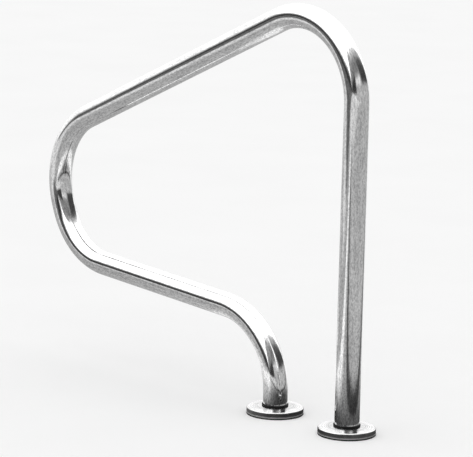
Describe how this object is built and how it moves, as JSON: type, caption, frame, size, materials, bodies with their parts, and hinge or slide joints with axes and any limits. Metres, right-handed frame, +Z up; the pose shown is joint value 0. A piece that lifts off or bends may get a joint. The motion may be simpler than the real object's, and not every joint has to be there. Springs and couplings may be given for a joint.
{
  "type": "pool handrail",
  "caption": "Figure-four pool handrail: one bent polished steel tube standing on two bolted feet under round covers, overhanging the pool edge.",
  "frame": {"origin": "on the deck surface, on the axis of the front (short) leg, at the centre of its deck bolt circle", "axes": "+Z up out of the deck; +X from the front leg towards the rear (tall) leg, so the rail overhangs the pool towards -X; the whole tube lies in the plane Y = 0"},
  "size_m": [0.9548, 0.112, 0.8108],
  "materials": {
    "rail_steel": "stainless tube polished almost to a mirror, with a fine lengthwise grain",
    "cover_steel": "stamped stainless sheet, mirror polished, faint turning rings",
    "plate_steel": "machined stainless, plain mill finish",
    "weld_steel": "pickled stainless weld bead",
    "screw_steel": "plain stainless fasteners",
    "seal_rubber": "black moulded rubber, satin",
    "gasket_rubber": "black sheet rubber, matte"
  },
  "bodies": {
    "rail": {"rail_tube": "rail_steel", "front_deck_gasket": "gasket_rubber", "front_base_plate": "plate_steel", "front_spigot": "plate_steel", "front_spigot_weld": "weld_steel", "front_retaining_screws": "screw_steel", "front_bonding_washer": "screw_steel", "front_bonding_screw": "screw_steel", "rear_deck_gasket": "gasket_rubber", "rear_base_plate": "plate_steel", "rear_spigot": "plate_steel", "rear_spigot_weld": "weld_steel", "rear_retaining_screws": "screw_steel", "rear_bonding_washer": "screw_steel", "rear_bonding_screw": "screw_steel"},
    "front_seal": {"front_seal_ring": "seal_rubber"},
    "front_cover": {"front_cover": "cover_steel"},
    "rear_seal": {"rear_seal_ring": "seal_rubber"},
    "rear_cover": {"rear_cover": "cover_steel"}
  },
  "joints": [
    {"name": "front_seal_slide", "type": "slide", "parent": "rail", "child": "front_seal", "axis": [0, 0, 1], "range_m": [0, 0.019]},
    {"name": "front_cover_turn", "type": "hinge", "parent": "front_seal", "child": "front_cover", "pos_m": [0, 0, 0], "axis": [0, 0, 1], "continuous": true},
    {"name": "rear_seal_slide", "type": "slide", "parent": "rail", "child": "rear_seal", "axis": [0, 0, 1], "range_m": [0, 0.6]},
    {"name": "rear_cover_turn", "type": "hinge", "parent": "rear_seal", "child": "rear_cover", "pos_m": [0.2, 0, 0], "axis": [0, 0, 1], "continuous": true}
  ]
}
